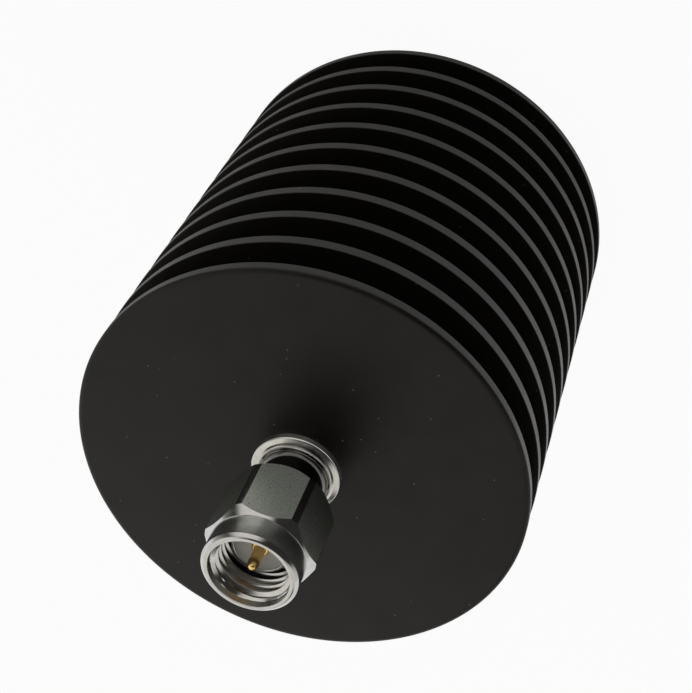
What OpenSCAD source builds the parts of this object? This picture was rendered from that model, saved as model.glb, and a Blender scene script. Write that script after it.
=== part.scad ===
// Finned coaxial dummy load.
// A turned aluminium heat sink stands on its back plate, with the coaxial plug on its axis, pointing up.
// The origin is the centre of the back plate's outer face, and +Z runs along the axis towards the plug.

/* [Heat sink] */
// Diameter of the discs
body_d = 38; // [32:0.5:60]
// Length of the heat sink over its plates
body_l = 41; // [34:0.5:80]
// Number of discs, with the front and back plates
fin_count = 11; // [9:1:16]
// Thickness of each disc
fin_t = 1; // [0.8:0.1:2]
// Diameter of the solid core between the discs
core_d = 20; // [14:0.5:26]
// Broken outer edge of the front and back plates
plate_edge = 0.25; // [0.1:0.05:0.35]
// Broken edges of the discs between the plates
fin_edge = 0.1; // [0.05:0.05:0.3]

/* [Connector body] */
// Diameter of the flange that seats on the front plate
flange_d = 7.7; // [7.4:0.1:11]
// Thickness of the flange
flange_t = 0.7; // [0.4:0.1:1.5]
// Diameter of the low step on the flange
step_d = 6.1; // [5.8:0.1:7.2]
// Height of the low step
step_t = 0.2; // [0.1:0.05:0.5]
// Diameter of the polished neck that carries the coupling nut
neck_d = 5.6; // [5.3:0.05:5.6]
// Diameter of the screwed shank inside the heat sink
shank_d = 6; // [5.8:0.1:6.8]
// Length of the screwed shank
shank_l = 7; // [5:0.5:9]
// Outer diameter of the front sleeve, the plug's outer conductor
sleeve_d = 4.6; // [4.5:0.05:4.8]
// Broken edges of the connector body
body_edge = 0.1; // [0.05:0.05:0.15]

/* [Coupling nut] */
// Height of the nut's back face over the front plate
nut_lift = 4; // [2:0.1:7]
// Length of the nut
nut_l = 8.5; // [8:0.1:12]
// Width across the flats
hex_af = 8; // [7.9:0.1:10]
// Diameter that the hexagon's corners are turned to
hex_turned_d = 8.9; // [8.6:0.05:9.1]
// Length of the back chamfer on the corners
back_chamfer_l = 0.75; // [0.4:0.05:1]
// Diameter of the round collar in front of the hexagon
collar_d = 7.7; // [7.4:0.05:7.85]
// Length of the round collar
collar_l = 2.3; // [1.5:0.1:3]
// Bevel on the collar's front edge
collar_bevel = 0.3; // [0.1:0.05:0.4]
// Diameter of the entry recess at the mouth
entry_d = 6.45; // [6.4:0.05:6.7]
// Depth of the entry recess
entry_l = 0.6; // [0.3:0.1:1]
// Inner diameter of the coupling thread, at its crests
thread_d = 5.68; // [5.6:0.02:5.8]
// Length of the coupling thread
thread_l = 3.3; // [2.5:0.1:4]
// Diameter of the relief behind the thread
relief_d = 6.6; // [6.4:0.1:7]
// Length of the relief behind the thread
relief_l = 1.1; // [0.6:0.1:1.4]
// Length of the land between the relief and the ring groove
land_l = 0.55; // [0.4:0.05:1]

/* [Retaining ring] */
// Thickness of the split ring
ring_t = 0.45; // [0.3:0.05:0.6]
// Radial width of the split ring
ring_w = 0.7; // [0.5:0.05:0.8]
// Open angle of the split ring
ring_split = 40; // [20:5:90]
// Depth of the ring's groove in the neck
ring_seat = 0.4; // [0.3:0.05:0.45]
// Length of neck in front of the ring's groove
neck_lip = 0.65; // [0.4:0.05:1]

/* [Insulators] */
// Diameter of the front insulator
bead_d = 4.1; // [4:0.05:4.15]
// Diameter of the rear insulator
rear_bead_d = 4.7; // [4.5:0.05:4.8]
// Height over the front plate where the two insulators meet
bead_split = 1.5; // [1:0.1:3]
// Depth of the front insulator's face below the nut's mouth
plane_depth = 2.85; // [2.4:0.05:3.4]

/* [Centre contact] */
// Diameter of the free pin
pin_d = 0.92; // [0.9:0.01:0.94]
// Length of the free pin in front of the insulator
pin_l = 2.15; // [1.8:0.05:2.3]
// Length of the conical tip
tip_l = 0.5; // [0.3:0.05:0.7]
// Diameter of the tip's end
tip_d = 0.5; // [0.3:0.05:0.6]
// Diameter of the contact inside the insulators
shaft_d = 1.27; // [1.1:0.01:1.4]
// Diameter of the collar held between the insulators, and of the rear button
button_d = 2.2; // [1.8:0.1:2.4]
// Thickness of the held collar
held_t = 0.8; // [0.5:0.1:1]
// Thickness of the rear button
button_t = 1; // [0.6:0.1:1.5]

/* [Resistor and heat path] */
// Diameter of the ceramic rod
rod_d = 2; // [1.6:0.1:2.4]
// Length of the resistor over its caps
resistor_l = 10; // [8:0.5:12]
// Length of each end cap
cap_l = 1.4; // [1:0.1:1.8]
// Wall of each end cap
cap_wall = 0.2; // [0.15:0.05:0.3]
// Thickness of each end cap's closed end
cap_end = 0.3; // [0.2:0.05:0.5]
// Depth of the rear cap's socket in the ground plug
socket_l = 2; // [1.8:0.1:3]
// Length of the ground plug
plug_l = 8; // [5:0.5:10]
// Step from the shank's hole down to the bore that holds the plug
bore_step = 0.25; // [0.15:0.05:0.3]
// Radial room around the rear cap at the taper's narrow end
taper_room = 0.3; // [0.2:0.05:0.5]
// Point angle of the drilled bore
drill_angle = 118; // [90:1:140]

/* [Fits] */
// Radial clearance of a fixed fit
fixed_fit = 0.02; // [0.01:0.01:0.04]
// Radial running clearance of the nut on the neck
running_fit = 0.05; // [0.02:0.01:0.1]
// Clearance of the split ring in the neck's groove
ring_fit = 0.05; // [0.02:0.01:0.1]
// Clearance of the split ring in the nut's groove
nut_float = 0.15; // [0.1:0.01:0.2]

/* [Hidden] */
$fn = 128;
hex_sides = 6;
cut = 0.5;
anodised = "#2b2927";
steel = "#b9b7b0";
spring_steel = "#8d8b86";
ptfe = "#dcdcd8";
gold = "#d9a441";
ceramic = "#e8e4da";
tinned = "#c9c9c6";
bare_brass = "#c8a24a";
copper = "#b8734a";

// Heights of the heat sink
last_fin = fin_count - 1;
fin_pitch = (body_l - fin_t) / last_fin;
face_z = body_l;

// Heights of the coupling nut
nut_z = face_z + nut_lift;
mouth_z = nut_z + nut_l;
collar_z = mouth_z - collar_l;
front_chamfer = (hex_turned_d - collar_d) / 2;
thread_top_z = mouth_z - entry_l;
relief_top_z = thread_top_z - thread_l;
land_top_z = relief_top_z - relief_l;
nut_groove_l = ring_t + 2 * nut_float;
nut_groove_top_z = land_top_z - land_l;
ring_mid_z = nut_groove_top_z - nut_groove_l / 2;

// Heights of the connector body and the contact
plane_z = mouth_z - plane_depth;
neck_z = face_z + flange_t + step_t;
shoulder_z = nut_groove_top_z + neck_lip;
shank_z = face_z - shank_l;
split_z = face_z + bead_split;
button_z = shank_z + button_t;
pin_top_z = plane_z + pin_l;

// Heights of the resistor and what holds it
resistor_z = shank_z - resistor_l;
plug_top_z = resistor_z + socket_l;
bore_floor_z = plug_top_z - plug_l;

// Diameters that follow from others
bore_d = shank_d - 2 * bore_step;
cap_hole_d = rod_d + 2 * fixed_fit;
cap_d = cap_hole_d + 2 * cap_wall;
plug_d = bore_d - 2 * fixed_fit;
neck_groove_d = neck_d - 2 * ring_seat;
ring_hole_d = neck_groove_d + 2 * ring_fit;
ring_d = ring_hole_d + 2 * ring_w;
nut_groove_d = ring_d + 2 * nut_float;
shaft_hole_d = shaft_d + 2 * fixed_fit;

// Broken edge under and over a disc: the outer edges of the two plates are larger
function lower_edge(k) = k == 0 ? plate_edge : fin_edge;
function upper_edge(k) = k == last_fin ? plate_edge : fin_edge;

// Half section of one disc, from its lower core corner to its upper one
function disc_section(k) = let(low = k * fin_pitch, high = low + fin_t, r = body_d / 2) [
    [core_d / 2, low],
    [r - lower_edge(k), low],
    [r, low + lower_edge(k)],
    [r, high - upper_edge(k)],
    [r - upper_edge(k), high],
    [core_d / 2, high],
];

// Upright cylinder between two heights
module post(d, from_z, to_z) {
    translate([0, 0, from_z]) cylinder(d = d, h = to_z - from_z);
}

// Upright washer-like ring between two heights
module tube(outer_d, inner_d, from_z, to_z) {
    difference() {
        post(outer_d, from_z, to_z);
        post(inner_d, from_z - cut, to_z + cut);
    }
}

// Drilled blind bore with its conical floor
module drilled_bore() {
    point_l = bore_d / 2 / tan(drill_angle / 2);
    post(bore_d, bore_floor_z, face_z + cut);
    translate([0, 0, bore_floor_z - point_l]) cylinder(d1 = 0, d2 = bore_d, h = point_l);
}

module heat_sink() {
    discs = [for (k = [0:last_fin]) each disc_section(k)];
    color(anodised) difference() {
        rotate_extrude() polygon(concat([[0, 0]], discs, [[0, face_z]]));
        drilled_bore();
        post(shank_d + 2 * fixed_fit, shank_z, face_z + cut);
    }
}

module connector_body() {
    outline = [
        [0, shank_z],
        [shank_d / 2 - body_edge, shank_z],
        [shank_d / 2, shank_z + body_edge],
        [shank_d / 2, face_z],
        [flange_d / 2, face_z],
        [flange_d / 2, face_z + flange_t - body_edge],
        [flange_d / 2 - body_edge, face_z + flange_t],
        [step_d / 2, face_z + flange_t],
        [step_d / 2, neck_z - body_edge],
        [step_d / 2 - body_edge, neck_z],
        [neck_d / 2, neck_z],
        [neck_d / 2, shoulder_z - body_edge],
        [neck_d / 2 - body_edge, shoulder_z],
        [sleeve_d / 2, shoulder_z],
        [sleeve_d / 2, plane_z - body_edge],
        [sleeve_d / 2 - body_edge, plane_z],
        [0, plane_z],
    ];
    groove_l = ring_t + 2 * ring_fit;
    color(steel) difference() {
        rotate_extrude() polygon(outline);
        post(bead_d + 2 * fixed_fit, shank_z - cut, plane_z + cut);
        post(rear_bead_d + 2 * fixed_fit, shank_z - cut, split_z);
        tube(neck_d + cut, neck_groove_d, ring_mid_z - groove_l / 2, ring_mid_z + groove_l / 2);
    }
}

// Outside of the nut as it comes off the lathe, before its flats
module nut_turning() {
    outline = [
        [0, nut_z],
        [collar_d / 2, nut_z],
        [hex_turned_d / 2, nut_z + back_chamfer_l],
        [hex_turned_d / 2, collar_z - front_chamfer],
        [collar_d / 2, collar_z],
        [collar_d / 2, mouth_z - collar_bevel],
        [collar_d / 2 - collar_bevel, mouth_z],
        [0, mouth_z],
    ];
    rotate_extrude() polygon(outline);
}

module coupling_nut() {
    color(steel) difference() {
        intersection() {
            nut_turning();
            translate([0, 0, nut_z - cut])
                cylinder(d = hex_af / cos(180 / hex_sides), h = nut_l + 2 * cut, $fn = hex_sides);
        }
        post(neck_d + 2 * running_fit, nut_z - cut, land_top_z + cut);
        post(nut_groove_d, nut_groove_top_z - nut_groove_l, nut_groove_top_z);
        post(relief_d, land_top_z, relief_top_z);
        post(thread_d, relief_top_z - cut, thread_top_z + cut);
        post(entry_d, thread_top_z, mouth_z + cut);
    }
}

module retaining_ring() {
    reach = ring_d;
    color(spring_steel) difference() {
        tube(ring_d, ring_hole_d, ring_mid_z - ring_t / 2, ring_mid_z + ring_t / 2);
        translate([0, 0, ring_mid_z - ring_t])
            linear_extrude(2 * ring_t)
                polygon([
                    [0, 0],
                    reach * [cos(ring_split / 2), -sin(ring_split / 2)],
                    reach * [cos(ring_split / 2), sin(ring_split / 2)],
                ]);
    }
}

module front_insulator() {
    color(ptfe) tube(bead_d, shaft_hole_d, split_z, plane_z);
}

module rear_insulator() {
    color(ptfe) difference() {
        post(rear_bead_d, button_z, split_z);
        post(shaft_hole_d, button_z - cut, split_z + cut);
        post(button_d + 2 * fixed_fit, split_z - held_t, split_z + cut);
    }
}

module centre_contact() {
    color(gold) union() {
        post(button_d, shank_z, button_z);
        post(shaft_d, button_z, plane_z);
        post(button_d, split_z - held_t, split_z);
        post(pin_d, plane_z, pin_top_z - tip_l);
        translate([0, 0, pin_top_z - tip_l]) cylinder(d1 = pin_d, d2 = tip_d, h = tip_l);
    }
}

module resistor_rod() {
    color(ceramic) post(rod_d, resistor_z + cap_end, shank_z - cap_end);
}

// End cap of the resistor, closed at the bottom, on the given height
module end_cap(from_z) {
    difference() {
        post(cap_d, from_z, from_z + cap_l);
        post(cap_hole_d, from_z + cap_end, from_z + cap_l + cut);
    }
}

module resistor_front_cap() {
    color(tinned) translate([0, 0, shank_z]) mirror([0, 0, 1]) end_cap(0);
}

module resistor_rear_cap() {
    color(tinned) end_cap(resistor_z);
}

module taper_sleeve() {
    color(bare_brass) difference() {
        post(plug_d, plug_top_z, shank_z);
        translate([0, 0, plug_top_z])
            cylinder(d1 = cap_d + 2 * taper_room, d2 = rear_bead_d, h = shank_z - plug_top_z);
    }
}

module ground_plug() {
    color(copper) difference() {
        post(plug_d, bore_floor_z, plug_top_z);
        post(cap_d + 2 * fixed_fit, resistor_z, plug_top_z + cut);
    }
}

heat_sink();
connector_body();
coupling_nut();
retaining_ring();
front_insulator();
rear_insulator();
centre_contact();
resistor_rod();
resistor_front_cap();
resistor_rear_cap();
taper_sleeve();
ground_plug();
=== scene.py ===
import math

import bmesh
import bpy
from mathutils import Matrix, Vector


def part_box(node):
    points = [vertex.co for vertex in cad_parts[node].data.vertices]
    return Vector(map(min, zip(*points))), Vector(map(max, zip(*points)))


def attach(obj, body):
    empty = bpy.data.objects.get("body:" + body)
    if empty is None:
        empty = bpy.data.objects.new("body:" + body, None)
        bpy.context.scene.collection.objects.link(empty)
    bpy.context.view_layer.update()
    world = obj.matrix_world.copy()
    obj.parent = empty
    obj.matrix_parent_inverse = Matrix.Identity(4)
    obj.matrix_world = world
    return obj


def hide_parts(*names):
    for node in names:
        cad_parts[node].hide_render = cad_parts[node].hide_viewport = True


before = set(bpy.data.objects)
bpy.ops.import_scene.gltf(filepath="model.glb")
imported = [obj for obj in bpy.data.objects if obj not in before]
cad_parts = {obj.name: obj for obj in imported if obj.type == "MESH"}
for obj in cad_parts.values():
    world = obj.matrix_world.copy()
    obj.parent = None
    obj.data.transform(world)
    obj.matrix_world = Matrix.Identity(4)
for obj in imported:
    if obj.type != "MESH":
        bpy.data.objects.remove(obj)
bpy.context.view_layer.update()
scene = bpy.context.scene
mm = 0.001
fullTurn = 2 * math.pi
axisZ = Vector((0, 0, 1))
smoothBelow = math.radians(9)
mergeWithin = 0.0001 * mm
hair = 0.01 * mm                        # tells one face of a piece from the next


# Camera, solved from the rims of the discs, the plate and the nut
photoCamera = {
    "imageHeight": 693,                 # pixels
    "focal": 1519.6,                    # pixels
    "sensor": 36.0,
    "tilt": math.radians(37.693),       # from the plug's axis to the line of sight
    "turn": math.radians(-101.3),       # the side of the plug that the camera stands on
    "roll": math.radians(205.573),
    "distance": 122.83 * mm,            # from the middle of the front plate
    "aside": 3.982 * mm,
    "above": 10.072 * mm,
    "clipNear": 5 * mm,
    "clipFar": 20.0,
}


def aimCamera(spec, target):
    tilt, turn, roll = spec["tilt"], spec["turn"], spec["roll"]
    outward = Vector((math.cos(turn), math.sin(turn), 0))
    back = math.sin(tilt) * outward + math.cos(tilt) * axisZ
    upright = math.sin(tilt) * axisZ - math.cos(tilt) * outward
    side = upright.cross(back)
    right = math.cos(roll) * side + math.sin(roll) * upright
    up = math.cos(roll) * upright - math.sin(roll) * side
    eye = target + spec["distance"] * back + spec["aside"] * right + spec["above"] * up
    lens = bpy.data.cameras.new("photoCamera")
    lens.sensor_width = spec["sensor"]
    lens.lens = spec["focal"] * spec["sensor"] / spec["imageHeight"]
    lens.clip_start = spec["clipNear"]
    lens.clip_end = spec["clipFar"]
    camera = bpy.data.objects.new("photoCamera", lens)
    scene.collection.objects.link(camera)
    turned = Matrix((right, up, back)).transposed().to_4x4()
    camera.matrix_world = Matrix.Translation(eye) @ turned
    scene.camera = camera


plateFace = Vector((0, 0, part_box("heat_sink")[1].z))
aimCamera(photoCamera, plateFace)
print("camera aimed at the front plate")


# Shader helpers: a node with its inputs, each a value or another node's socket
def addNode(tree, kind, inputs=None, **settings):
    node = tree.nodes.new("ShaderNode" + kind)
    for key, value in settings.items():
        setattr(node, key, value)
    for key, value in (inputs or {}).items():
        if isinstance(value, bpy.types.NodeSocket):
            tree.links.new(value, node.inputs[key])
        else:
            node.inputs[key].default_value = value
    return node


def addMath(tree, operation, first, second=0.0):
    return addNode(tree, "Math", {0: first, 1: second}, operation=operation).outputs[0]


def spread(tree, value, low, high, fromLow=0.0, fromHigh=1.0, ramp="LINEAR"):
    limits = {"Value": value, "From Min": fromLow, "From Max": fromHigh, "To Min": low, "To Max": high}
    return addNode(tree, "MapRange", limits, interpolation_type=ramp).outputs["Result"]


def softSpread(tree, value, low, high, fromLow, fromHigh):
    return spread(tree, value, low, high, fromLow, fromHigh, "SMOOTHSTEP")


def blendColour(tree, factor, first, second):
    node = addNode(tree, "Mix", data_type="RGBA")
    tree.links.new(factor, node.inputs[0])
    for socket, colour in ((node.inputs[6], first), (node.inputs[7], second)):
        if isinstance(colour, bpy.types.NodeSocket):
            tree.links.new(colour, socket)
        else:
            socket.default_value = (*colour, 1)
    return node.outputs[2]


def newGroup(title, inputs, outputs):
    group = bpy.data.node_groups.new(title, "ShaderNodeTree")
    for name, value in inputs.items():
        socket = group.interface.new_socket(name, in_out="INPUT", socket_type="NodeSocketFloat")
        socket.default_value = value
    for name in outputs:
        group.interface.new_socket(name, in_out="OUTPUT", socket_type="NodeSocketFloat")
    entry = group.nodes.new("NodeGroupInput")
    leave = group.nodes.new("NodeGroupOutput")
    return group, entry.outputs, leave.inputs


def useGroup(tree, group, **values):
    node = tree.nodes.new("ShaderNodeGroup")
    node.node_tree = group
    for name, value in values.items():
        node.inputs[name].default_value = value
    return node.outputs


noiseRange = (0.3, 0.7)                 # the part of a noise that its mask uses


# Soft clouds and a fine grain, sized in cells for each mm
def grainGroup():
    group, given, out = newGroup("grain", {"PerMm": 1.0, "Detail": 2.0}, ["Mask"])
    place = addNode(group, "TexCoord").outputs["Object"]
    perMetre = addMath(group, "DIVIDE", given["PerMm"], mm)
    noise = addNode(group, "TexNoise", {"Vector": place, "Scale": perMetre, "Detail": given["Detail"]})
    group.links.new(spread(group, noise.outputs["Fac"], 0, 1, *noiseRange), out["Mask"])
    return group


# Lathe lines: they only change along the section, so they run round the axis
def latheGroup():
    group, given, out = newGroup("latheLines", {"PerMm": 20.0}, ["Mask"])
    place = addNode(group, "TexCoord").outputs["Object"]
    parts = addNode(group, "SeparateXYZ", {0: place}).outputs
    level = addNode(group, "CombineXYZ", {"X": parts["X"], "Y": parts["Y"]}).outputs[0]
    radius = addNode(group, "VectorMath", {0: level}, operation="LENGTH").outputs["Value"]
    height = addMath(group, "MULTIPLY", parts["Z"], 1.3)   # 1.3 keeps the lines on a 45 degree cone
    along = addMath(group, "ADD", radius, height)
    perMetre = addMath(group, "DIVIDE", given["PerMm"], mm)
    noise = addNode(group, "TexNoise", {"W": along, "Scale": perMetre, "Detail": 3.0},
                    noise_dimensions="1D")
    group.links.new(spread(group, noise.outputs["Fac"], 0, 1, *noiseRange), out["Mask"])
    return group


# Dust: a few small round specks, each in a cell of its own
def dustGroup():
    group, given, out = newGroup("dust", {"CellMm": 1.2, "SpeckMm": 0.08, "Share": 0.4}, ["Mask"])
    place = addNode(group, "TexCoord").outputs["Object"]
    perMetre = addMath(group, "DIVIDE", 1 / mm, given["CellMm"])
    cells = addNode(group, "TexVoronoi", {"Vector": place, "Scale": perMetre})
    reach = addMath(group, "DIVIDE", given["SpeckMm"], given["CellMm"])
    closeness = addMath(group, "DIVIDE", cells.outputs["Distance"], reach)
    inside = spread(group, closeness, 1, 0, 0.6, 1.0)       # each speck is soft at its edge
    draw = addNode(group, "SeparateColor", {0: cells.outputs["Color"]}).outputs[0]
    kept = addMath(group, "LESS_THAN", draw, given["Share"])
    group.links.new(addMath(group, "MULTIPLY", inside, kept), out["Mask"])
    return group


grain, latheLines, dust = grainGroup(), latheGroup(), dustGroup()


# Finishes
def newFinish(title, **values):
    material = bpy.data.materials.new(title)
    material.use_nodes = True
    tree = material.node_tree
    shader = tree.nodes["Principled BSDF"]
    for name, value in values.items():
        shader.inputs[name].default_value = value
    return material, tree, shader.inputs


def addBump(tree, shader, height, depth):
    bump = addNode(tree, "Bump", {"Height": height, "Distance": depth, "Strength": 1.0})
    tree.links.new(bump.outputs["Normal"], shader["Normal"])


def alongTheLathe(tree, shader, amount, glossTurn):
    shader["Anisotropic"].default_value = amount
    shader["Anisotropic Rotation"].default_value = glossTurn
    tangent = addNode(tree, "Tangent", direction_type="RADIAL", axis="Z")
    tree.links.new(tangent.outputs["Tangent"], shader["Tangent"])


def anodisedFinish():
    spec = {
        "warm": (0.0085, 0.0066, 0.0055),
        "cool": (0.0063, 0.0063, 0.0054),
        "speck": (0.11, 0.105, 0.095),
        "satin": (0.34, 0.42),
        "gloss": 0.26,
        "blast": 0.004 * mm,
    }
    material, tree, shader = newFinish("anodisedBlack", **{"Specular IOR Level": spec["gloss"]})
    cloud = useGroup(tree, grain, PerMm=0.35, Detail=3.0)["Mask"]
    fine = useGroup(tree, grain, PerMm=9.0, Detail=2.0)["Mask"]
    specks = useGroup(tree, dust, CellMm=1.2, SpeckMm=0.09, Share=0.4)["Mask"]
    ground = blendColour(tree, cloud, spec["warm"], spec["cool"])
    tree.links.new(blendColour(tree, specks, ground, spec["speck"]), shader["Base Color"])
    tree.links.new(spread(tree, cloud, *spec["satin"]), shader["Roughness"])
    addBump(tree, shader, fine, spec["blast"])
    return material


cloudShade = 0.88                       # how far a cloud darkens turned steel


# The gloss is drawn out across the lathe lines, or along them where glossTurn is 0
def turnedSteelFinish(title, colour, roughness, stretch, linesPerMm, depth, glossTurn=0.25):
    material, tree, shader = newFinish(title, Metallic=1.0)
    lines = useGroup(tree, latheLines, PerMm=linesPerMm)["Mask"]
    cloud = useGroup(tree, grain, PerMm=1.5, Detail=3.0)["Mask"]
    darker = tuple(cloudShade * part for part in colour)
    tree.links.new(blendColour(tree, cloud, colour, darker), shader["Base Color"])
    tree.links.new(spread(tree, lines, *roughness), shader["Roughness"])
    alongTheLathe(tree, shader, stretch, glossTurn)
    addBump(tree, shader, lines, depth)
    return material


def milledSteelFinish():
    spec = {
        "pale": (0.50, 0.52, 0.47),
        "dull": (0.34, 0.355, 0.32),
        "pit": (0.15, 0.155, 0.14),
        "roughness": (0.28, 0.31),
        "wave": 0.0003 * mm,
    }
    material, tree, shader = newFinish("milledSteel", Metallic=1.0)
    fine = useGroup(tree, grain, PerMm=5.0, Detail=3.0)["Mask"]
    cloud = useGroup(tree, grain, PerMm=1.2, Detail=3.0)["Mask"]
    pits = useGroup(tree, dust, CellMm=0.45, SpeckMm=0.075, Share=0.5)["Mask"]
    ground = blendColour(tree, fine, spec["pale"], spec["dull"])
    tree.links.new(blendColour(tree, pits, ground, spec["pit"]), shader["Base Color"])
    tree.links.new(spread(tree, cloud, *spec["roughness"]), shader["Roughness"])
    addBump(tree, shader, fine, spec["wave"])
    return material


# A finish with a soft cloud between two colours and a fine grain in its gloss
def cloudedFinish(title, colours, roughness, perMm, metallic, depth):
    material, tree, shader = newFinish(title, Metallic=metallic)
    cloud = useGroup(tree, grain, PerMm=perMm, Detail=3.0)["Mask"]
    fine = useGroup(tree, grain, PerMm=8 * perMm, Detail=2.0)["Mask"]
    tree.links.new(blendColour(tree, cloud, *colours), shader["Base Color"])
    tree.links.new(spread(tree, fine, *roughness), shader["Roughness"])
    addBump(tree, shader, fine, depth)
    return material


anodisedBlack = anodisedFinish()
turnedSteel = turnedSteelFinish(
    "turnedSteel", colour=(0.65, 0.645, 0.63), roughness=(0.13, 0.2),
    stretch=0.4, linesPerMm=16.0, depth=0.0003 * mm)
polishedSteel = turnedSteelFinish(
    "polishedSteel", colour=(0.61, 0.61, 0.60), roughness=(0.10, 0.17),
    stretch=0.4, linesPerMm=10.0, depth=0.0002 * mm)
brushedSteel = turnedSteelFinish(
    "brushedSteel", colour=(0.59, 0.60, 0.56), roughness=(0.2, 0.24),
    stretch=0.8, linesPerMm=12.0, depth=0.0001 * mm, glossTurn=0.0)
# The neck's steel colour is darkened as a painted shade, for the shadow under the nut
shadeDarkenedNeckSteel = turnedSteelFinish(
    "shadeDarkenedNeckSteel", colour=(0.2, 0.197, 0.185), roughness=(0.05, 0.10),
    stretch=0.3, linesPerMm=8.0, depth=0.0001 * mm)
flangeSteel = turnedSteelFinish(
    "flangeSteel", colour=(0.65, 0.645, 0.62), roughness=(0.15, 0.22),
    stretch=0.5, linesPerMm=16.0, depth=0.0004 * mm)
milledSteel = milledSteelFinish()
ptfeWhite = cloudedFinish(
    "ptfeWhite", colours=((0.66, 0.66, 0.64), (0.60, 0.60, 0.58)), roughness=(0.45, 0.6),
    perMm=2.0, metallic=0.0, depth=0.002 * mm)
goldPlate = cloudedFinish(
    "goldPlate", colours=((0.95, 0.66, 0.26), (0.85, 0.56, 0.20)), roughness=(0.16, 0.28),
    perMm=3.0, metallic=1.0, depth=0.0005 * mm)
springSteel = cloudedFinish(
    "springSteel", colours=((0.30, 0.29, 0.28), (0.24, 0.235, 0.225)), roughness=(0.3, 0.42),
    perMm=3.0, metallic=1.0, depth=0.001 * mm)
ceramicRod = cloudedFinish(
    "ceramicRod", colours=((0.78, 0.75, 0.68), (0.70, 0.66, 0.58)), roughness=(0.5, 0.65),
    perMm=1.5, metallic=0.0, depth=0.003 * mm)
tinnedCap = cloudedFinish(
    "tinnedCap", colours=((0.68, 0.68, 0.66), (0.58, 0.58, 0.56)), roughness=(0.25, 0.4),
    perMm=2.5, metallic=1.0, depth=0.001 * mm)
bareBrass = cloudedFinish(
    "bareBrass", colours=((0.78, 0.58, 0.28), (0.70, 0.50, 0.22)), roughness=(0.24, 0.36),
    perMm=1.5, metallic=1.0, depth=0.001 * mm)
bareCopper = cloudedFinish(
    "bareCopper", colours=((0.80, 0.42, 0.28), (0.70, 0.34, 0.21)), roughness=(0.25, 0.4),
    perMm=1.5, metallic=1.0, depth=0.001 * mm)
print("finishes made:", len(bpy.data.materials))


# Mesh helpers: a half section in the XZ plane, rounded corners, a full turn
def drawSection(points, closed):
    bm = bmesh.new()
    corners = [bm.verts.new((r, 0, z)) for r, z in points]
    following = corners[1:] + corners[:1] if closed else corners[1:]
    for corner, other in zip(corners, following):
        bm.edges.new((corner, other))
    return bm, corners


def roundCorners(bm, corners, size, segments=2):
    bmesh.ops.bevel(bm, geom=corners, offset=size, offset_type="OFFSET", affect="VERTICES",
                    segments=segments, profile=0.5, material=-1, clamp_overlap=True)


def turnSection(bm, steps):
    bmesh.ops.spin(bm, geom=bm.verts[:] + bm.edges[:], cent=(0, 0, 0), axis=axisZ, angle=fullTurn,
                   steps=steps, use_merge=True)
    bmesh.ops.remove_doubles(bm, verts=bm.verts[:], dist=mergeWithin)
    bmesh.ops.recalc_face_normals(bm, faces=bm.faces[:])


def makePiece(bm, title, finishes, body, node):
    for face in bm.faces:
        face.smooth = True
    mesh = bpy.data.meshes.new(title)
    bm.to_mesh(mesh)
    bm.free()
    mesh.set_sharp_from_angle(angle=smoothBelow)      # smooth round the axis, crisp along the section
    for finish in finishes:
        mesh.materials.append(finish)
    piece = bpy.data.objects.new(title, mesh)
    scene.collection.objects.link(piece)
    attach(piece, body)
    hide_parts(node)
    print(title, "made:", len(mesh.polygons), "faces")
    return piece


# Finned heat sink: discs on a core, with the blind bore that the load sits in
heatSink = {
    "discs": 11,
    "discThick": 1.0 * mm,
    "coreRadius": 10.0 * mm,
    "plateEdge": 0.5 * mm,              # both end plates are rounded off, more across than down
    "plateDrop": 0.25 * mm,
    "plateFacets": 12,
    "discEdge": 0.04 * mm,
    "softCorner": 0.02 * mm,
    "toolCorner": 0.2 * mm,             # where a disc meets the core
    "shankRadius": 3.02 * mm,
    "boreGap": 0.02 * mm,
    "drillSlope": math.radians(59),
    "steps": 192,
}


def buildHeatSink(spec):
    low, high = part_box("heat_sink")
    plugLow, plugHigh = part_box("ground_plug")
    radius, core, soft = high.x, spec["coreRadius"], spec["discEdge"]
    boreRadius = plugHigh.x + spec["boreGap"]
    last = spec["discs"] - 1
    pitch = (high.z - low.z - spec["discThick"]) / last
    edge, drop, facets = spec["plateEdge"], spec["plateDrop"], spec["plateFacets"]
    roundEdge = []
    for k in range(facets + 1):                  # even steps of lean keep the shading smooth
        lean = k / facets * math.pi / 2
        turn = math.atan2(edge * math.sin(lean), drop * math.cos(lean))
        roundEdge.append((edge * (1 - math.sin(turn)), drop * (1 - math.cos(turn))))
    points = [(0, low.z)]
    roots, rounds = [], []
    for k in range(spec["discs"]):
        under, over = low.z + k * pitch, low.z + k * pitch + spec["discThick"]
        if k > 0:
            roots.append(len(points))
            points += [(core, under), (radius - soft, under), (radius, under + soft)]
        else:
            rounds += range(len(points), len(points) + len(roundEdge))
            points += [(radius - inward, under + up) for inward, up in roundEdge]
        if k < last:
            points += [(radius, over - soft), (radius - soft, over)]
            roots.append(len(points))
            points.append((core, over))
        else:
            rounds += range(len(points), len(points) + len(roundEdge))
            points += [(radius - inward, over - up) for inward, up in reversed(roundEdge)]
    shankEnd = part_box("connector_body")[0].z
    points += [(spec["shankRadius"], high.z), (spec["shankRadius"], shankEnd), (boreRadius, shankEnd)]
    points += [(boreRadius, plugLow.z), (0, plugLow.z - boreRadius / math.tan(spec["drillSlope"]))]
    bm, corners = drawSection(points, closed=False)
    edges = [v for k, v in enumerate(corners[1:-1], 1) if k not in roots + rounds]
    roundCorners(bm, [corners[k] for k in roots], spec["toolCorner"], segments=3)
    roundCorners(bm, edges, spec["softCorner"])
    turnSection(bm, spec["steps"])
    return makePiece(bm, "finnedHeatSink", [anodisedBlack], "load", "heat_sink")


buildHeatSink(heatSink)
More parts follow.
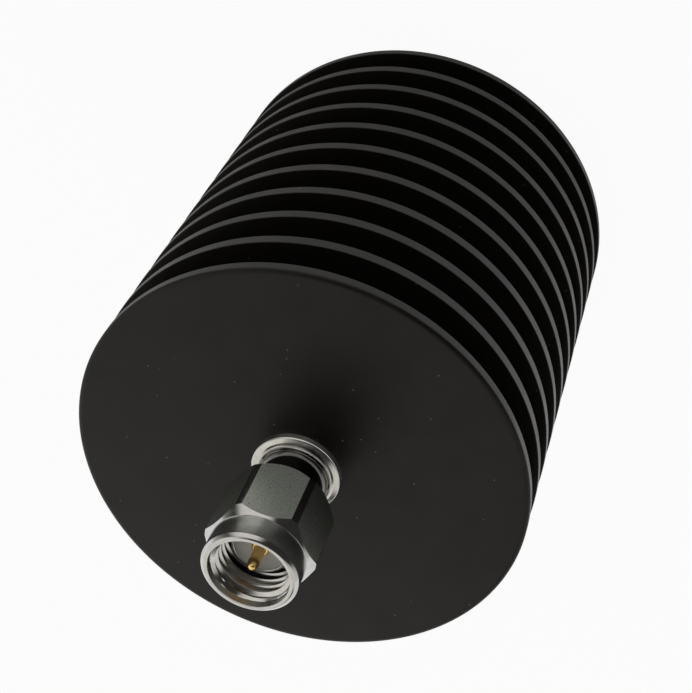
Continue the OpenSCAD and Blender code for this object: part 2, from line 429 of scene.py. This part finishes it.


# Connector body: flange on the plate, low step, polished neck with a painted shade in its colour, ring
# groove and front sleeve
plugBody = {
    "shankRadius": 3.0 * mm,
    "flangeThick": 0.7 * mm,
    "flangeLean": 0.12 * mm,            # the flange's rim leans in from its foot
    "flangeSlope": 0.42 * mm,           # and its face falls towards the rim
    "flangeDrop": 0.2 * mm,
    "stepRadius": 3.05 * mm,
    "stepHigh": 0.2 * mm,
    "neckRadius": 2.8 * mm,
    "grooveRadius": 2.4 * mm,
    "grooveHalf": 0.275 * mm,
    "neckLip": 1.025 * mm,              # from the groove's middle to the neck's end
    "sleeveRadius": 2.3 * mm,
    "frontBore": 2.07 * mm,
    "rearBore": 2.37 * mm,
    "softCorner": 0.06 * mm,
    "steps": 144,
}


def buildPlugBody(spec):
    low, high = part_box("connector_body")
    ringLow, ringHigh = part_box("retaining_ring")
    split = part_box("front_insulator")[0].z
    face, flange = plateFace.z, plateFace.z + spec["flangeThick"]
    rim = high.x - spec["flangeLean"]
    step = flange + spec["stepHigh"]
    groove = (ringLow.z + ringHigh.z) / 2
    shoulder = groove + spec["neckLip"]
    grooveLow, grooveHigh = groove - spec["grooveHalf"], groove + spec["grooveHalf"]
    points = [
        (spec["rearBore"], low.z), (spec["shankRadius"], low.z), (spec["shankRadius"], face),
        (high.x, face), (rim, flange - spec["flangeDrop"]), (rim - spec["flangeSlope"], flange),
        (spec["stepRadius"], flange), (spec["stepRadius"], step), (spec["neckRadius"], step),
        (spec["neckRadius"], grooveLow), (spec["grooveRadius"], grooveLow),
        (spec["grooveRadius"], grooveHigh), (spec["neckRadius"], grooveHigh),
        (spec["neckRadius"], shoulder), (spec["sleeveRadius"], shoulder),
        (spec["sleeveRadius"], high.z), (spec["frontBore"], high.z),
        (spec["frontBore"], split), (spec["rearBore"], split),
    ]
    bm, corners = drawSection(points, closed=True)
    roundCorners(bm, corners, spec["softCorner"])
    turnSection(bm, spec["steps"])
    for bmFace in bm.faces:
        middle = bmFace.calc_center_median()
        onNeck = step - hair < middle.z < shoulder
        bmFace.material_index = 1 if onNeck else 0
    # the neck's finish carries the painted shade
    finishes = [flangeSteel, shadeDarkenedNeckSteel]
    return makePiece(bm, "plugBody", finishes, "load", "connector_body")


buildPlugBody(plugBody)


# Coupling nut: turned blank, six milled flats, and the thread that pulls the plug home
hexNut = {
    "flats": 6,
    "acrossFlats": 8.0 * mm,
    "turnedRadius": 4.45 * mm,
    "collarRadius": 3.85 * mm,
    "collarLong": 2.3 * mm,
    "collarBevel": 0.3 * mm,
    "mouthRound": 0.12 * mm,
    "backChamfer": 0.75 * mm,
    "entryRadius": 3.225 * mm,
    "entryDeep": 0.6 * mm,
    "reliefRadius": 3.3 * mm,
    "reliefLong": 1.1 * mm,
    "landLong": 0.55 * mm,
    "runningGap": 0.05 * mm,
    "ringFloat": 0.15 * mm,
    "softCorner": 0.05 * mm,
    "steps": 144,
}
nutThread = {
    "crestRadius": 2.84 * mm,
    "pitch": 25.4 / 36 * mm,
    "rootShare": 7 / 8,                 # of the pitch, at the wall
    "crestShare": 1 / 4,
    "wallSink": 0.015 * mm,
    "long": 3.3 * mm,
    "start": math.radians(-125),
    "stepsPerTurn": 96,
}

outsideSlot, flatSlot, boreSlot, collarSlot = range(4)


def cutFlats(bm, spec):
    flatFaces = []
    for k in range(spec["flats"]):
        angle = (k + 0.5) * fullTurn / spec["flats"]
        outward = Vector((math.cos(angle), math.sin(angle), 0))
        cut = bmesh.ops.bisect_plane(bm, geom=bm.verts[:] + bm.edges[:] + bm.faces[:], dist=mergeWithin,
                                     plane_co=outward * spec["acrossFlats"] / 2, plane_no=outward,
                                     clear_outer=True)
        rim = [e for e in cut["geom_cut"] if isinstance(e, bmesh.types.BMEdge)]
        flatFaces += bmesh.ops.contextual_create(bm, geom=rim)["faces"]
    return flatFaces


def addThread(bm, spec, wallRadius, top):
    half = spec["rootShare"] * spec["pitch"] / 2
    crestHalf = spec["crestShare"] * spec["pitch"] / 2
    base, crest = wallRadius + spec["wallSink"], spec["crestRadius"]
    bottom = top - spec["long"]
    turns = (spec["long"] + half) / spec["pitch"]
    steps = round(turns * spec["stepsPerTurn"])
    section = [(base, -half), (crest, -crestHalf), (crest, crestHalf), (base, half)]
    ridge = drawSection([(r, bottom + z) for r, z in section], closed=True)[0]
    bmesh.ops.subdivide_edges(ridge, edges=ridge.edges[:], cuts=2)
    turned = Matrix.Rotation(spec["start"], 3, "Z")
    bmesh.ops.rotate(ridge, verts=ridge.verts[:], cent=(0, 0, 0), matrix=turned)
    rise = axisZ * spec["pitch"] / spec["stepsPerTurn"]
    bmesh.ops.spin(ridge, geom=ridge.verts[:] + ridge.edges[:], cent=(0, 0, 0), axis=axisZ, dvec=rise,
                   angle=steps * fullTurn / spec["stepsPerTurn"], steps=steps)
    bmesh.ops.holes_fill(ridge, edges=[e for e in ridge.edges if e.is_boundary])
    for vert in ridge.verts:                  # it runs out on 45 degree cones, and its rest is in the wall
        radius = Vector((vert.co.x, vert.co.y)).length
        topCone = base - (top - vert.co.z)
        bottomCone = base - (vert.co.z - bottom)
        wanted = min(max(radius, topCone, bottomCone), base)
        vert.co.x *= wanted / radius
        vert.co.y *= wanted / radius
        vert.co.z = min(vert.co.z, top + half)
    bmesh.ops.recalc_face_normals(ridge, faces=ridge.faces[:])
    for face in ridge.faces:
        face.material_index = boreSlot
    loose = bpy.data.meshes.new("nutThread")
    ridge.to_mesh(loose)
    ridge.free()
    bm.from_mesh(loose)
    bpy.data.meshes.remove(loose)


def buildHexNut(spec, thread):
    low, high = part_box("coupling_nut")
    ringLow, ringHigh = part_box("retaining_ring")
    neckBore = plugBody["neckRadius"] + spec["runningGap"]
    grooveRadius = ringHigh.x + spec["ringFloat"]
    collar = high.z - spec["collarLong"]
    shoulder = collar - (spec["turnedRadius"] - spec["collarRadius"])
    entry = high.z - spec["entryDeep"]
    threadEnd = entry - thread["long"]
    reliefEnd = threadEnd - spec["reliefLong"]
    grooveHigh = reliefEnd - spec["landLong"]
    grooveLow = ringLow.z - spec["ringFloat"]
    outside = [
        (spec["collarRadius"], low.z), (spec["turnedRadius"], low.z + spec["backChamfer"]),
        (spec["turnedRadius"], shoulder), (spec["collarRadius"], collar),
        (spec["collarRadius"], high.z - spec["collarBevel"]),
        (spec["collarRadius"] - spec["collarBevel"], high.z),
    ]
    inside = [
        (spec["entryRadius"], high.z), (spec["entryRadius"], threadEnd),
        (spec["reliefRadius"], threadEnd), (spec["reliefRadius"], reliefEnd),
        (neckBore, reliefEnd), (neckBore, grooveHigh),
        (grooveRadius, grooveHigh), (grooveRadius, grooveLow), (neckBore, grooveLow), (neckBore, low.z),
    ]
    bm, corners = drawSection(outside + inside, closed=True)
    mouth = len(outside) - 1
    roundCorners(bm, corners[:1] + corners[mouth + 1:], spec["softCorner"])
    roundCorners(bm, corners[mouth:mouth + 1], spec["mouthRound"], segments=6)   # the others stay crisp
    turnSection(bm, spec["steps"])
    innerLimit = grooveRadius + spec["softCorner"]
    for face in bm.faces:
        middle = face.calc_center_median()
        deep = Vector((middle.x, middle.y)).length < innerLimit and middle.z < high.z - hair
        onCollar = collar < middle.z < high.z - spec["collarBevel"]
        face.material_index = boreSlot if deep else collarSlot if onCollar else outsideSlot
    for face in cutFlats(bm, spec):
        face.material_index = flatSlot
    bmesh.ops.recalc_face_normals(bm, faces=bm.faces[:])
    addThread(bm, thread, spec["entryRadius"], entry)
    finishes = [polishedSteel, milledSteel, turnedSteel, brushedSteel]       # in the order of the slots
    return makePiece(bm, "hexNut", finishes, "nut", "coupling_nut")


nutPiece = buildHexNut(hexNut, nutThread)


# Front insulator: the white bead round the pin
frontBead = {"holeGap": 0.02 * mm, "shaftRadius": 0.635 * mm, "softCorner": 0.05 * mm, "steps": 96}


def buildFrontBead(spec):
    low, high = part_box("front_insulator")
    hole = spec["shaftRadius"] + spec["holeGap"]
    points = [(hole, low.z), (high.x, low.z), (high.x, high.z), (hole, high.z)]
    bm, corners = drawSection(points, closed=True)
    roundCorners(bm, corners, spec["softCorner"])
    turnSection(bm, spec["steps"])
    return makePiece(bm, "frontBead", [ptfeWhite], "load", "front_insulator")


buildFrontBead(frontBead)


# Centre contact: rear button, shaft, held collar and the free pin
goldContact = {
    "buttonRadius": 1.1 * mm,
    "buttonThick": 1.0 * mm,
    "shaftRadius": 0.635 * mm,
    "heldThick": 0.8 * mm,
    "pinRadius": 0.46 * mm,
    "tipRadius": 0.25 * mm,
    "tipLong": 0.5 * mm,
    "tipRound": 0.15 * mm,
    "softCorner": 0.05 * mm,
    "steps": 64,
}


def buildGoldContact(spec):
    low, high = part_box("centre_contact")
    split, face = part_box("front_insulator")[0].z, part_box("front_insulator")[1].z
    button = low.z + spec["buttonThick"]
    held = split - spec["heldThick"]
    straight = high.z - spec["tipLong"]
    points = [
        (0, low.z), (spec["buttonRadius"], low.z), (spec["buttonRadius"], button),
        (spec["shaftRadius"], button), (spec["shaftRadius"], held),
        (spec["buttonRadius"], held), (spec["buttonRadius"], split),
        (spec["shaftRadius"], split), (spec["shaftRadius"], face), (spec["pinRadius"], face),
        (spec["pinRadius"], straight), (spec["tipRadius"], high.z), (0, high.z),
    ]
    bm, corners = drawSection(points, closed=False)
    roundCorners(bm, corners[1:-3], spec["softCorner"], segments=3)
    roundCorners(bm, corners[-3:-1], spec["tipRound"], segments=6)
    turnSection(bm, spec["steps"])
    return makePiece(bm, "goldContact", [goldPlate], "load", "centre_contact")


buildGoldContact(goldContact)


# Pieces that stay hidden inside keep their solids and get their own finish
innerFinishes = {
    "retaining_ring": springSteel,
    "rear_insulator": ptfeWhite,
    "resistor_rod": ceramicRod,
    "resistor_front_cap": tinnedCap,
    "resistor_rear_cap": tinnedCap,
    "taper_sleeve": bareBrass,
    "ground_plug": bareCopper,
}
for nodeName, finish in innerFinishes.items():
    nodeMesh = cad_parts[nodeName].data
    nodeMesh.materials.clear()
    nodeMesh.materials.append(finish)
print("inner pieces finished:", len(innerFinishes))


# A direction given from the camera's side of the plug and from the floor
def direction(turn, rise):
    angle = photoCamera["turn"] + turn
    return Vector((math.cos(rise) * math.cos(angle), math.cos(rise) * math.sin(angle), math.sin(rise)))


# Floor: a white sweep that rises at its rim. Where it is mirrored, a painted soft shadow darkens it beside
# the object
paleFloor = {
    "flatRadius": 0.9,
    "rimRadius": 1.3,
    "rimHigh": 0.45,
    "sweep": 0.3,
    "sweepFacets": 12,
    "drop": 0.05 * mm,
    "colour": (0.85, 0.85, 0.85),
    "ownLight": 0.95,
    "shade": 0.25,
    "shadeTurn": math.radians(80),
    "shadeAside": 20 * mm,
    "shadeFrom": 8 * mm,
    "shadeTo": 65 * mm,
    "steps": 96,
}


def buildFloor(spec):
    level = -spec["drop"]
    points = [(0, level), (spec["flatRadius"], level), (spec["rimRadius"], spec["rimHigh"])]
    bm, corners = drawSection(points, closed=False)
    roundCorners(bm, corners[1:2], spec["sweep"], spec["sweepFacets"])
    turnSection(bm, spec["steps"])
    for face in bm.faces:
        face.smooth = True
    mesh = bpy.data.meshes.new("paleFloor")
    bm.to_mesh(mesh)
    bm.free()
    floor = bpy.data.objects.new("paleFloor", mesh)
    scene.collection.objects.link(floor)
    material = bpy.data.materials.new("paleFloor")
    material.use_nodes = True
    tree = material.node_tree
    tree.nodes.clear()
    place = addNode(tree, "TexCoord").outputs["Object"]
    # Painted shadow: the mirrored floor is darker near a point beside the object
    middle = spec["shadeAside"] * direction(spec["shadeTurn"], 0)
    away = addNode(tree, "VectorMath", {0: place, 1: middle}, operation="DISTANCE").outputs["Value"]
    paintedShadowShare = softSpread(tree, away, spec["shade"], 1, spec["shadeFrom"], spec["shadeTo"])
    path = addNode(tree, "LightPath").outputs
    paintedShadowShare = addMath(tree, "MULTIPLY", path["Is Glossy Ray"], paintedShadowShare)
    seen = addMath(tree, "MAXIMUM", path["Is Camera Ray"], path["Is Transmission Ray"])
    seen = addMath(tree, "MAXIMUM", seen, paintedShadowShare)
    share = addMath(tree, "MULTIPLY", seen, spec["ownLight"])
    matt = addNode(tree, "BsdfDiffuse", {"Color": (*spec["colour"], 1)})
    white = addNode(tree, "Emission", {"Color": (1, 1, 1, 1), "Strength": 1.0})
    both = addNode(tree, "MixShader", {0: share, 1: matt.outputs[0], 2: white.outputs[0]})
    addNode(tree, "OutputMaterial", {"Surface": both.outputs[0]})
    mesh.materials.append(material)
    print("floor laid")


buildFloor(paleFloor)


# Studio: three soft patches in a dark sky, and two dim lamps on the plate for the nut alone
skyLight = {
    "dark": 0.035,
    "tint": (1.0, 0.97, 0.915),
    "topFrom": math.sin(math.radians(62)),
    "topTo": math.sin(math.radians(78)),
    "topShare": 0.05,
    "patches": [
        {"turn": math.radians(150), "rise": math.radians(50), "inside": math.radians(32),
         "outside": math.radians(54), "level": 0.86},
        {"turn": math.radians(36), "rise": math.radians(18), "inside": math.radians(30),
         "outside": math.radians(44), "level": 0.84},
        {"turn": math.radians(-113), "rise": math.radians(38), "inside": math.radians(13),
         "outside": math.radians(30), "level": 0.8},
    ],
}
nutLamps = {
    "flatGlow": {"turn": math.radians(18), "aside": 10.5 * mm, "above": 0.3 * mm, "long": 15.0 * mm,
                 "wide": 9.0 * mm, "radiance": 0.17, "tint": (1.0, 1.0, 0.97)},
    "collarGlow": {"turn": math.radians(42), "aside": 13.0 * mm, "above": 0.4 * mm, "long": 11.0 * mm,
                   "wide": 5.0 * mm, "radiance": 0.36, "tint": (1.0, 1.0, 0.97)},
}


def lightSky(spec):
    world = bpy.data.worlds.new("studioSky")
    scene.world = world
    world.use_nodes = True
    tree = world.node_tree
    background = tree.nodes["Background"]
    look = addNode(tree, "TexCoord").outputs["Generated"]
    total = 0.0
    for patch in spec["patches"]:
        toward = direction(patch["turn"], patch["rise"])
        facing = addNode(tree, "VectorMath", {0: look, 1: toward}, operation="DOT_PRODUCT")
        facing = facing.outputs["Value"]
        inner, outer = math.cos(patch["inside"]), math.cos(patch["outside"])
        glow = softSpread(tree, facing, 0, patch["level"], outer, inner)
        total = addMath(tree, "MAXIMUM", glow, total)
    rise = addNode(tree, "SeparateXYZ", {0: look}).outputs["Z"]
    dimmed = softSpread(tree, rise, 1, spec["topShare"], spec["topFrom"], spec["topTo"])
    total = addMath(tree, "MULTIPLY", total, dimmed)
    background.inputs["Color"].default_value = (*spec["tint"], 1)
    tree.links.new(addMath(tree, "ADD", total, spec["dark"]), background.inputs["Strength"])


def layLamp(title, spec, ground, lit):
    lamp = bpy.data.lights.new(title, "AREA")
    lamp.shape = "ELLIPSE"
    lamp.size = spec["long"]
    lamp.size_y = spec["wide"]
    lamp.color = spec["tint"]
    area = math.pi * spec["long"] * spec["wide"] / 4
    lamp.energy = spec["radiance"] * math.pi * area
    holder = bpy.data.objects.new(title, lamp)
    scene.collection.objects.link(holder)
    outward = direction(spec["turn"], 0)
    along = math.atan2(outward.x, -outward.y)
    holder.rotation_euler = (math.pi, 0, along)
    holder.location = ground + spec["aside"] * outward + spec["above"] * axisZ
    holder.visible_camera = False
    receivers = bpy.data.collections.new(title)
    receivers.objects.link(lit)
    holder.light_linking.receiver_collection = receivers


lightSky(skyLight)
for lampName, lampSpec in nutLamps.items():
    layLamp(lampName, lampSpec, plateFace, nutPiece)
scene.view_settings.view_transform = "Standard"
print("studio lit")
